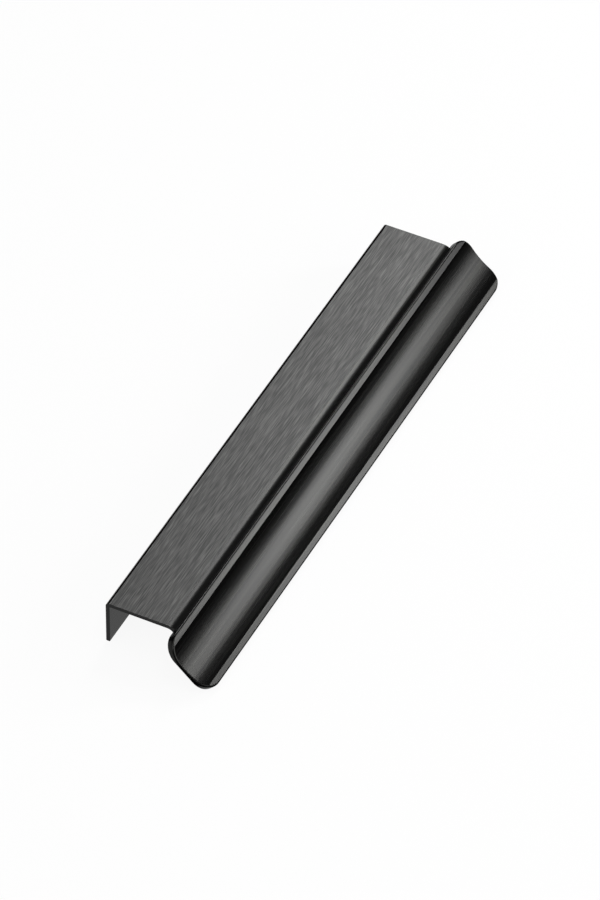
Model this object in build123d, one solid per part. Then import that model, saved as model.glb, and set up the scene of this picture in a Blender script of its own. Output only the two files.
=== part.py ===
from build123d import *
import os
from math import cos, radians, sin, tan

os.makedirs("parts", exist_ok=True)

# Edge pull for the edge of a drawer front or door, cut from one aluminium profile, in mm.
# The lip faces -Y, the back flange is on the +Y side, the length runs along X, and the part
# stands on Z = 0 on the flange's bottom and the lip's lower edge.

# Driving dimensions: length
lip_length = 200.0
end_overhang = 7.5           # lip beyond the top plate, at each end

# Driving dimensions: plate and flange
sheet = 1.3                  # wall of the flange, the plate and its front bend
board_thickness = 18.0       # board that the pull goes over
board_play = 0.7             # room beside the board, between the flange and the start of the front bend
back_edge_radius = 1.2       # outside, where the plate meets the flange
inside_radius = 0.5          # inside corner of the channel
bend_radius = 6.0            # outside, where the plate turns down to the lip
bend_turn = 28.0             # degrees that it turns through
neck_radius = 2.6            # inside, between the plate's underside and the back of the lip
edge_break = 0.3             # flange's bottom edges

# Driving dimensions: lip
lip_tilt = 44.0              # degrees below level
lip_height = 20.0            # along the slope
land_width = 2.15            # flat strip above and below the trough
trough_depth = 1.45
groove_depth = 1.15          # the lip's upper edge stands this much out of the plate's bend
corner_radius = 5.8
edge_round = 0.6             # all round the lip, front and back

# Driving dimensions: screw holes in the flange
screw_inset = 12.5           # hole centre from the end of the plate
screw_hole_diameter = 4.2
screw_head_diameter = 6.4
countersink_angle = 90.0

# Derived places in the section: u runs forward from the flange's back face, w up from the plate's top
down_slope = Vector(cos(radians(lip_tilt)), -sin(radians(lip_tilt)))
out_of_lip = Vector(sin(radians(lip_tilt)), cos(radians(lip_tilt)))
down_bend = Vector(cos(radians(bend_turn)), -sin(radians(bend_turn)))
plate_length = lip_length - 2 * end_overhang
lip_thickness = sheet + trough_depth        # the trough's middle is as thick as the plate
rim_round = min(edge_round, 0.48 * sheet)   # limited by the wall, which is rounded front and back
bend_start = sheet + board_thickness + board_play
bend_outside = Vector(bend_start + bend_radius * tan(radians(bend_turn / 2)), 0)
groove_bottom = bend_outside + down_bend * (groove_depth * out_of_lip.Y / -down_bend.Y)
lip_corner = groove_bottom + out_of_lip * groove_depth      # level with the plate's top


def on_lip(along, depth):
    """Section point at a distance down the lip's slope and a depth below its face."""
    return lip_corner + down_slope * along - out_of_lip * depth


# The flange reaches as far down as the lip's rounded lower edge, so the part stands level
stand_height = rim_round - on_lip(lip_height - rim_round, lip_thickness - rim_round).Y
overall_depth = rim_round + on_lip(lip_height - rim_round, rim_round).X

section_plane = Plane(
    origin=(0, overall_depth / 2, stand_height), x_dir=(0, -1, 0), z_dir=(-1, 0, 0)
)
lip_plane = Plane(
    origin=section_plane.from_local_coords(lip_corner),
    x_dir=(0, -down_slope.X, down_slope.Y),
    z_dir=(-1, 0, 0),
)

# Flange, plate and front bend: one section that runs into the upper edge of the lip, flush with its back
flange_foot_back = Vector(0, -stand_height)
back_edge = Vector(0, 0)
neck = on_lip((sheet - lip_thickness * out_of_lip.Y) / -down_slope.Y, lip_thickness)
flange_root = Vector(sheet, -sheet)
flange_foot_front = Vector(sheet, -stand_height)
section = make_face(
    Polyline(
        flange_foot_back,
        back_edge,
        bend_outside,
        groove_bottom + down_bend * (land_width / 2),
        on_lip(land_width, lip_thickness),
        neck,
        flange_root,
        flange_foot_front,
        close=True,
    )
)
corner_radii = [
    (back_edge, back_edge_radius),
    (bend_outside, bend_radius),
    (neck, neck_radius),
    (flange_root, inside_radius),
    (flange_foot_back, edge_break),
    (flange_foot_front, edge_break),
]
for corner, radius in corner_radii:
    section = fillet(section.vertices().sort_by_distance(corner)[0], radius)
carrier = extrude(section_plane * section, amount=plate_length / 2, both=True)

# Screw holes through the flange, countersunk from its back face
flange_middle = -(stand_height + sheet) / 2
flange_back = Plane(
    origin=section_plane.from_local_coords((0, flange_middle)), x_dir=(1, 0, 0), z_dir=(0, 1, 0)
)
cone_depth = (screw_head_diameter - screw_hole_diameter) / 2 / tan(radians(countersink_angle / 2))
screw_spacing = plate_length - 2 * screw_inset
for place in (-screw_spacing / 2, screw_spacing / 2):
    drill = Cylinder(screw_hole_diameter / 2, 4 * sheet)
    cone = Pos(0, 0, -cone_depth / 2) * Cone(
        screw_hole_diameter / 2, screw_head_diameter / 2, cone_depth
    )
    carrier -= flange_back * Pos(place, 0) * (drill + cone)

# Lip: a slab with rounded corners and edges, and a second one with the trough's hollow face. What both
# share is the lip, with flat lands where the slab is lower and the trough where the hollow face is.
lip_normal = Axis(lip_plane.origin, lip_plane.y_dir)


def extruded_slab(lip_section):
    """A lip section run over the lip's length, with its four corners rounded."""
    slab = extrude(lip_plane * lip_section, amount=lip_length / 2, both=True)
    return fillet(slab.edges().filter_by(lip_normal), corner_radius)


flat_slab = extruded_slab(
    make_face(
        Polyline(
            (0, 0), (lip_height, 0), (lip_height, -lip_thickness), (0, -lip_thickness), close=True
        )
    )
)
flat_slab = fillet(flat_slab.faces().filter_by(lip_normal).edges(), rim_round)

half_trough = lip_height / 2 - land_width
trough_radius = (half_trough**2 + trough_depth**2) / (2 * trough_depth)
edge_rise = trough_radius - trough_depth - (trough_radius**2 - lip_height**2 / 4) ** 0.5
hollow_face = ThreePointArc((0, edge_rise), (lip_height / 2, -trough_depth), (lip_height, edge_rise))
hollow_sides = Polyline(
    (lip_height, edge_rise), (lip_height, -2 * lip_thickness), (0, -2 * lip_thickness), (0, edge_rise)
)
hollow_slab = extruded_slab(make_face(hollow_face + hollow_sides))
hollow_slab = fillet(hollow_slab.faces().sort_by(lip_normal)[-1].edges(), rim_round)
lip = flat_slab & hollow_slab

edge_pull = carrier + lip
edge_pull.label = "edge_pull"
export_step(edge_pull, "parts/edge_pull.step")
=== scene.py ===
from math import cos, pi, radians, sin, tan

import bpy
from mathutils import Matrix, Vector


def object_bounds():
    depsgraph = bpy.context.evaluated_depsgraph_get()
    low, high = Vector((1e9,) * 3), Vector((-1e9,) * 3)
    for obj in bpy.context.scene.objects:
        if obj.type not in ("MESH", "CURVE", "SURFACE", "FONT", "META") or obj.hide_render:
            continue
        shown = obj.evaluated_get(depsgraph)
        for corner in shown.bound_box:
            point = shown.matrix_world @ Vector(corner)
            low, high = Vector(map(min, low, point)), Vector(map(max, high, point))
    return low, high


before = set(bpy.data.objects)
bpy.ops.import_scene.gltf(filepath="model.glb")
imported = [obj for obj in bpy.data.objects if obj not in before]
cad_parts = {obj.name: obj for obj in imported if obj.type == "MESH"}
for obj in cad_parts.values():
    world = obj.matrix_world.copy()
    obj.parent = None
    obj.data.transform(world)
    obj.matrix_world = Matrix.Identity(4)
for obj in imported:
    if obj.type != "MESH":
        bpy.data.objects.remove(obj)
cad_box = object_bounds()
highest = Vector(cad_box[1])
scene = bpy.context.scene
scene.view_settings.view_transform = "Standard"

# Edge pull.
# One length of extruded aluminium: back flange, top plate and slanted lip. The flat of the plate is brushed
# along its length, the rest is left as drawn, the ends are sawn, and then all of it is anodised black.
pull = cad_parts["edge_pull"]

# Sizes of the finishes, and where the lip's edge is, in metres and radians
brushed_depth = 0.000004        # the brush takes in what is this near to the plate's top, so only its flat
scratch_width = 0.00023
short_scratch = 0.004
long_scratch = 0.009
scratch_depth = 0.000006
die_line_width = 0.0008
die_line_length = 0.08
saw_line_width = 0.0002
saw_line_length = 0.003
lip_tilt = radians(44)
lip_edge = Vector((0, -0.004856, highest.z))    # where the lip's face would meet its upper side
painted_lines_reach = 0.001         # the painted highlight and painted shade lines are this near to the top, in height
# the pale hair line is a painted highlight and the dark one is painted shade: how far down the slope from the
# lip's edge each lies, and how wide
painted_highlight_inset = 0.00014
painted_highlight_width = 0.0002
painted_shade_inset = 0.00049
painted_shade_width = 0.00028

# Strengths of the finishes
scratch_waver = 0.3
scratch_low = 0.6               # the two kinds of scratch, added up, are mostly between these two
scratch_high = 1.4
pale_rarity = 1.5               # above 1, pale scratches are rarer than dark ones
die_line_low = 0.3
die_line_high = 0.7
end_limit = 0.99                # a face that looks this much along the pull is a sawn end
drawn_roughness = (0.26, 0.28)
sawn_roughness = (0.3, 0.4)
brushed_roughness = (0.45, 0.485)


def linear(hex_colour):
    """sRGB hex colour as a linear RGBA tuple."""
    parts = [int(hex_colour[i : i + 2], 16) / 255 for i in (1, 3, 5)]
    return tuple(c / 12.92 if c <= 0.04045 else ((c + 0.055) / 1.055) ** 2.4 for c in parts) + (1.0,)


def add_node(tree, kind, settings, inputs):
    """Adds a node, sets its options, and gives each input, by name or number, a value or a link."""
    node = tree.nodes.new(kind)
    for name, value in settings.items():
        setattr(node, name, value)
    for socket, value in inputs.items():
        if isinstance(value, bpy.types.NodeSocket):
            tree.links.new(value, node.inputs[socket])
        else:
            node.inputs[socket].default_value = value
    return node


# Black anodised aluminium: a satin, almost black metal. Brushing makes the plate duller and greyer, with fine
# light and dark lines along it. Real scratches are under 0.1 mm wide, and are drawn wider so that they show.
black_metal = bpy.data.materials.new("brushed_black_anodised_aluminium")
black_metal.use_nodes = True
tree = black_metal.node_tree
shader = tree.nodes["Principled BSDF"]
place = add_node(tree, "ShaderNodeTexCoord", {}, {}).outputs["Object"]
height = add_node(tree, "ShaderNodeSeparateXYZ", {}, {"Vector": place}).outputs["Z"]

# Brush scratches of two lengths, on the flat of the plate
brushed = add_node(
    tree,
    "ShaderNodeMapRange",
    {},
    {"Value": height, "From Min": highest.z - brushed_depth, "From Max": highest.z},
).outputs["Result"]
lines = []
for length in (short_scratch, long_scratch):
    stretch = (1 / length, 1 / scratch_width, 1 / scratch_width)
    # The two kinds are set apart from each other, and from the planes in which the noise is even
    apart = (100.5 * len(lines), 0.3 * len(lines), 0.4)
    along_grain = add_node(
        tree, "ShaderNodeVectorMath", {"operation": "MULTIPLY_ADD"}, {0: place, 1: stretch, 2: apart}
    ).outputs["Vector"]
    lines.append(
        add_node(
            tree,
            "ShaderNodeTexNoise",
            {},
            {"Vector": along_grain, "Scale": 1.0, "Detail": 0.0, "Distortion": scratch_waver},
        ).outputs["Fac"]
    )
both_lines = add_node(
    tree, "ShaderNodeMath", {"operation": "ADD"}, {0: lines[0], 1: lines[1]}
).outputs["Value"]
spread_lines = add_node(
    tree, "ShaderNodeMapRange", {}, {"Value": both_lines, "From Min": scratch_low, "From Max": scratch_high}
).outputs["Result"]
scratches = add_node(
    tree, "ShaderNodeMath", {"operation": "POWER"}, {0: spread_lines, 1: pale_rarity}
).outputs["Value"]

# Long faint lines from the die, on every drawn face
die_stretch = (1 / die_line_length, 1 / die_line_width, 1 / die_line_width)
die_grain = add_node(
    tree, "ShaderNodeVectorMath", {"operation": "MULTIPLY"}, {0: place, 1: die_stretch}
).outputs["Vector"]
die_lines = add_node(
    tree, "ShaderNodeTexNoise", {}, {"Vector": die_grain, "Scale": 1.0, "Detail": 1.0}
).outputs["Fac"]
die_lines = add_node(
    tree, "ShaderNodeMapRange", {}, {"Value": die_lines, "From Min": die_line_low, "From Max": die_line_high}
).outputs["Result"]

# Upright saw lines on the faces that look along the pull
facing = add_node(tree, "ShaderNodeNewGeometry", {}, {}).outputs["True Normal"]
end_on = add_node(tree, "ShaderNodeVectorMath", {"operation": "ABSOLUTE"}, {0: facing}).outputs["Vector"]
end_on = add_node(tree, "ShaderNodeSeparateXYZ", {}, {"Vector": end_on}).outputs["X"]
sawn = add_node(
    tree, "ShaderNodeMath", {"operation": "GREATER_THAN"}, {0: end_on, 1: end_limit}
).outputs["Value"]
saw_stretch = (0, 1 / saw_line_width, 1 / saw_line_length)
saw_grain = add_node(
    tree, "ShaderNodeVectorMath", {"operation": "MULTIPLY"}, {0: place, 1: saw_stretch}
).outputs["Vector"]
saw_lines = add_node(
    tree, "ShaderNodeTexNoise", {}, {"Vector": saw_grain, "Scale": 1.0, "Detail": 0.0}
).outputs["Fac"]

# Painted highlight and painted shade: a pale and a dark hair line side by side along the rounding of the
# lip's upper edge, where that rounding catches and loses the light
down_slope = Vector((0, -cos(lip_tilt), -sin(lip_tilt)))
along_slope = add_node(
    tree, "ShaderNodeVectorMath", {"operation": "DOT_PRODUCT"}, {0: place, 1: down_slope}
).outputs["Value"]
on_top = add_node(
    tree, "ShaderNodeMath", {"operation": "GREATER_THAN"}, {0: height, 1: highest.z - painted_lines_reach}
).outputs["Value"]
painted_highlight_and_shade = []
for inset, width in ((painted_highlight_inset, painted_highlight_width), (painted_shade_inset, painted_shade_width)):
    painted_line = add_node(
        tree,
        "ShaderNodeMath",
        {"operation": "COMPARE"},
        {0: along_slope, 1: down_slope.dot(lip_edge) + inset, 2: width / 2},
    ).outputs["Value"]
    painted_highlight_and_shade.append(
        add_node(tree, "ShaderNodeMath", {"operation": "MULTIPLY"}, {0: painted_line, 1: on_top}).outputs["Value"]
    )

# Each finish's colour and dullness, and the colours of the painted highlight and painted shade hair lines,
# laid over the drawn metal
colour_mix = {"data_type": "RGBA"}      # a colour Mix has its colours on inputs 6 and 7 and output 2
metal_colour = add_node(
    tree, "ShaderNodeMix", colour_mix, {0: die_lines, 6: linear("#232323"), 7: linear("#2b2b2a")}
).outputs[2]
sawn_colour = add_node(
    tree, "ShaderNodeMix", colour_mix, {0: saw_lines, 6: linear("#202020"), 7: linear("#303030")}
).outputs[2]
brushed_colour = add_node(
    tree, "ShaderNodeMix", colour_mix, {0: scratches, 6: linear("#444444"), 7: linear("#666665")}
).outputs[2]
finish_and_painted_light_colours = [(sawn, sawn_colour), (brushed, brushed_colour)]
# the pale hair line's colour is a painted highlight, the dark one's is painted shade
finish_and_painted_light_colours += [(painted_highlight_and_shade[0], linear("#3c3c3b")), (painted_highlight_and_shade[1], linear("#060606"))]
for share, colour in finish_and_painted_light_colours:
    metal_colour = add_node(
        tree, "ShaderNodeMix", colour_mix, {0: share, 6: metal_colour, 7: colour}
    ).outputs[2]
finish_patterns = [(die_lines, drawn_roughness), (saw_lines, sawn_roughness)]
finish_patterns += [(scratches, brushed_roughness)]
finish_dullness = []
for pattern, (least, most) in finish_patterns:
    finish_dullness.append(
        add_node(
            tree, "ShaderNodeMapRange", {}, {"Value": pattern, "To Min": least, "To Max": most}
        ).outputs["Result"]
    )
roughness, sawn_dullness, brushed_dullness = finish_dullness
for share, dullness in ((sawn, sawn_dullness), (brushed, brushed_dullness)):
    roughness = add_node(tree, "ShaderNodeMix", {}, {0: share, 2: roughness, 3: dullness}).outputs[0]
relief_depth = add_node(
    tree, "ShaderNodeMath", {"operation": "MULTIPLY"}, {0: brushed, 1: scratch_depth}
).outputs["Value"]
relief = add_node(
    tree, "ShaderNodeBump", {}, {"Strength": 1.0, "Distance": relief_depth, "Height": scratches}
).outputs["Normal"]
tree.links.new(metal_colour, shader.inputs["Base Color"])
tree.links.new(roughness, shader.inputs["Roughness"])
tree.links.new(relief, shader.inputs["Normal"])
shader.inputs["Metallic"].default_value = 1.0
shader.inputs["Specular Tint"].default_value = linear("#dfdfdf")
for slot in pull.material_slots:
    slot.material = black_metal

# Floor.
# A white paper sweep that the pull stands on. The eye and the metal see it as white, with part of the
# light that falls on it left in, so that it keeps a faint shadow of the pull.
floor_half = 6.0
white_part = 0.92               # the rest of what the eye and the metal see is lit paper
floor_corners = [(-floor_half, -floor_half, 0), (floor_half, -floor_half, 0)]
floor_corners += [(floor_half, floor_half, 0), (-floor_half, floor_half, 0)]
floor_mesh = bpy.data.meshes.new("floor")
floor_mesh.from_pydata(floor_corners, [], [(0, 1, 2, 3)])
floor = bpy.data.objects.new("floor", floor_mesh)
scene.collection.objects.link(floor)
paper = bpy.data.materials.new("white_paper")
paper.use_nodes = True
tree = paper.node_tree
sheet = tree.nodes["Principled BSDF"]
sheet.inputs["Base Color"].default_value = linear("#f0f0f0")
sheet.inputs["Roughness"].default_value = 1.0
sheet.inputs["Specular IOR Level"].default_value = 0.0
ray = add_node(tree, "ShaderNodeLightPath", {}, {})
seen = add_node(
    tree,
    "ShaderNodeMath",
    {"operation": "MAXIMUM"},
    {0: ray.outputs["Is Camera Ray"], 1: ray.outputs["Is Glossy Ray"]},
).outputs["Value"]
seen = add_node(
    tree, "ShaderNodeMath", {"operation": "MAXIMUM"}, {0: seen, 1: ray.outputs["Is Transmission Ray"]}
).outputs["Value"]
white_share = add_node(
    tree, "ShaderNodeMath", {"operation": "MULTIPLY"}, {0: seen, 1: white_part}
).outputs["Value"]
white = add_node(tree, "ShaderNodeEmission", {}, {"Color": (1, 1, 1, 1), "Strength": 1.0}).outputs[0]
surface = add_node(
    tree, "ShaderNodeMixShader", {}, {0: white_share, 1: sheet.outputs[0], 2: white}
).outputs[0]
tree.links.new(surface, tree.nodes["Material Output"].inputs["Surface"])
floor_mesh.materials.append(paper)

# Camera.
# Placed by the photograph's edges, from the upper back edge of the pull, in the 600 by 900 frame.
view_turn = radians(26.061)
view_height = radians(44.051)
view_roll = radians(0.645)
view_distance = 1.9162
focal_pixels = 6371.3
frame_height = 900
aim_right = 0.01537             # from the middle of that edge to the middle of the picture
aim_below = 0.01285
right = Vector((sin(view_turn), -cos(view_turn), 0))
up = Vector((cos(view_turn) * sin(view_height), sin(view_turn) * sin(view_height), cos(view_height)))
back = right.cross(up)
across = cos(view_roll) * right + sin(view_roll) * up
upward = cos(view_roll) * up - sin(view_roll) * right
aim = Vector((0, highest.y, highest.z)) + aim_right * across - aim_below * upward
camera_data = bpy.data.cameras.new("camera")
camera_data.sensor_width = 36
camera_data.lens = camera_data.sensor_width * focal_pixels / frame_height
camera = bpy.data.objects.new("camera", camera_data)
scene.collection.objects.link(camera)
camera_turn = Matrix((across, upward, back)).transposed().to_4x4()
camera.matrix_world = Matrix.Translation(aim + view_distance * back) @ camera_turn
scene.camera = camera

# Studio light.
# A dim white room with soft boxes round the pull. The first two are what the plate's front bend and the lip
# show in the photograph, and the others light the sides that it doesn't show.
world = bpy.data.worlds.new("studio")
scene.world = world
world.use_nodes = True
room = world.node_tree.nodes["Background"]
room.inputs["Color"].default_value = (1, 1, 1, 1)
room.inputs["Strength"].default_value = 0.1
lamp_distance = 0.9


def mirrored_view(tilt, aside):
    """Where a face tilted to the front mirrors the view, turned aside along the pull, in degrees."""
    to_camera = back
    face = Vector((0, -sin(radians(tilt)), cos(radians(tilt))))
    toward = 2 * to_camera.dot(face) * face - to_camera
    level = (Vector((1, 0, 0)) - toward.x * toward).normalized()
    return (toward + tan(radians(aside)) * level).normalized()


def soft_box(name, toward, roll, half_length, half_height, radiance):
    """Area lamp in a direction from the pull, its half sizes and its roll given as angles in degrees."""
    toward = Vector(toward).normalized()
    level = (Vector((1, 0, 0)) - toward.x * toward).normalized()
    rise = toward.cross(level)
    turn = radians(roll)
    level, rise = cos(turn) * level + sin(turn) * rise, cos(turn) * rise - sin(turn) * level
    lamp = bpy.data.lights.new(name, "AREA")
    lamp.shape = "RECTANGLE"
    lamp.size = 2 * lamp_distance * tan(radians(half_length))
    lamp.size_y = 2 * lamp_distance * tan(radians(half_height))
    lamp.energy = radiance * pi * lamp.size * lamp.size_y
    lamp_object = bpy.data.objects.new(name, lamp)
    scene.collection.objects.link(lamp_object)
    lamp_turn = Matrix((level, rise, toward)).transposed().to_4x4()
    lamp_object.matrix_world = Matrix.Translation(lamp_distance * toward) @ lamp_turn


plate_shows = mirrored_view(tilt=7.7, aside=1.0)
lip_shows = mirrored_view(tilt=42.5, aside=-1.6)
soft_box("plate_box", plate_shows, roll=4.8, half_length=10.4, half_height=6.0, radiance=15.5)
soft_box("lip_box", lip_shows, roll=9.8, half_length=5.5, half_height=11.2, radiance=17)
soft_box("left_back_box", (-0.68, 0.45, 0.58), roll=0, half_length=22, half_height=16, radiance=1.9)
soft_box("left_front_box", (-0.55, -0.35, 0.76), roll=0, half_length=8, half_height=8, radiance=5.1)
soft_box("top_box", (-0.1, -0.25, 0.96), roll=0, half_length=12, half_height=7.5, radiance=5)
soft_box("front_box", (0, -0.94, 0.34), roll=0, half_length=18, half_height=18, radiance=3)

# Black sheet.
# Velvet on the floor, in front of the pull and beside its near end, which sends back next to no light. It is
# what the upper half of the lip's trough shows in the photograph, and only reflections show it.
black_height = 0.0002           # just off the floor, so that the floor doesn't show through
gap_to_lip = 0.0004
gap_to_end = 0.0005
black_left = -0.3
black_right = 0.8
black_far = -1
black_front = -highest.y - gap_to_lip
black_side = -highest.x - gap_to_end
black_back = -0.004             # beside the near end it goes about as far back as the lip
black_outline = [(black_left, black_far), (black_right, black_far), (black_right, black_front)]
black_outline += [(black_side, black_front), (black_side, black_back), (black_left, black_back)]
black_mesh = bpy.data.meshes.new("black_sheet")
black_mesh.from_pydata([(x, y, black_height) for x, y in black_outline], [], [(0, 1, 2, 3, 4, 5)])
black_sheet = bpy.data.objects.new("black_sheet", black_mesh)
scene.collection.objects.link(black_sheet)
velvet = bpy.data.materials.new("black_velvet")
velvet.use_nodes = True
pile = velvet.node_tree.nodes["Principled BSDF"]
pile.inputs["Base Color"].default_value = linear("#0a0a0a")
pile.inputs["Specular IOR Level"].default_value = 0.0
black_mesh.materials.append(velvet)
black_sheet.visible_camera = False
black_sheet.visible_diffuse = False
black_sheet.visible_shadow = False
